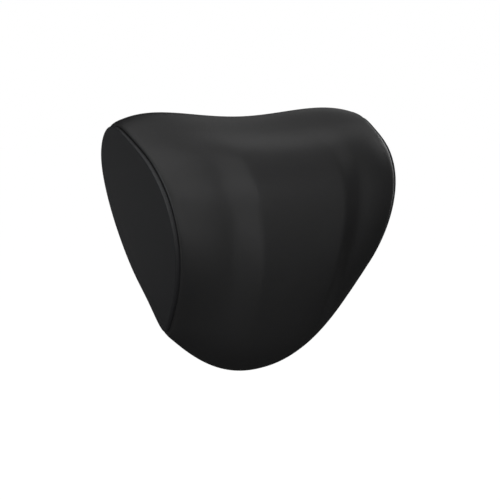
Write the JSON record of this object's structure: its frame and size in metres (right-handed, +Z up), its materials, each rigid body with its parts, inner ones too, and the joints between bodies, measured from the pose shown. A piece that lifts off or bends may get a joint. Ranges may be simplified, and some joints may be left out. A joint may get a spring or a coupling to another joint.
{
  "type": "chair headrest attachment",
  "caption": "Upholstered heart-shaped headrest pad with flat end caps, on a friction tilt hinge and a sliding carriage on a rail whose plate bolts to a chair back.",
  "frame": {"origin": "centre of the mounting plate's rear face", "axes": "+Z up, -Y the way the pad faces, +X to the right for someone who stands in front of the pad"},
  "size_m": [0.3034, 0.1848, 0.2603],
  "materials": {
    "black_steel": "satin",
    "anodised_rail": "satin",
    "zinc_steel": "satin",
    "stop_nylon": "matte",
    "cast_block": "satin",
    "moulded_cover": "matte",
    "white_nylon": "matte",
    "brake_rubber": "matte",
    "spring_steel": "satin",
    "black_oxide_screw": "satin",
    "board_plastic": "matte",
    "pad_foam": "matte",
    "upholstery": "satin",
    "end_cap_plastic": "matte"
  },
  "bodies": {
    "mount": {"mount_plate": "black_steel", "height_rail": "anodised_rail", "rail_screws": "zinc_steel", "rail_end_stops": "stop_nylon"},
    "carriage": {"carriage_block": "cast_block", "carriage_cover": "moulded_cover", "glide_liner_left": "white_nylon", "glide_liner_right": "white_nylon", "brake_shoe": "brake_rubber", "brake_spring": "spring_steel", "tension_screw": "black_oxide_screw", "pivot_bushes": "white_nylon"},
    "pad": {"pad_bracket": "black_steel", "bracket_screws": "zinc_steel", "pivot_bolt": "zinc_steel", "disc_springs": "spring_steel", "lock_nut": "zinc_steel", "pivot_caps": "moulded_cover", "tee_nuts": "zinc_steel", "carrier_board": "board_plastic", "foam_core": "pad_foam", "front_cover": "upholstery", "left_end_cap": "end_cap_plastic", "right_end_cap": "end_cap_plastic", "back_shell": "moulded_cover", "shell_screws": "black_oxide_screw"}
  },
  "joints": [
    {"name": "height_slide", "type": "slide", "parent": "mount", "child": "carriage", "axis": [0, 0, 1], "range_m": [-0.03, 0.03]},
    {"name": "pad_tilt", "type": "hinge", "parent": "carriage", "child": "pad", "pos_m": [0, -0.044, 0], "axis": [1, 0, 0], "range_deg": [-20, 25]}
  ]
}
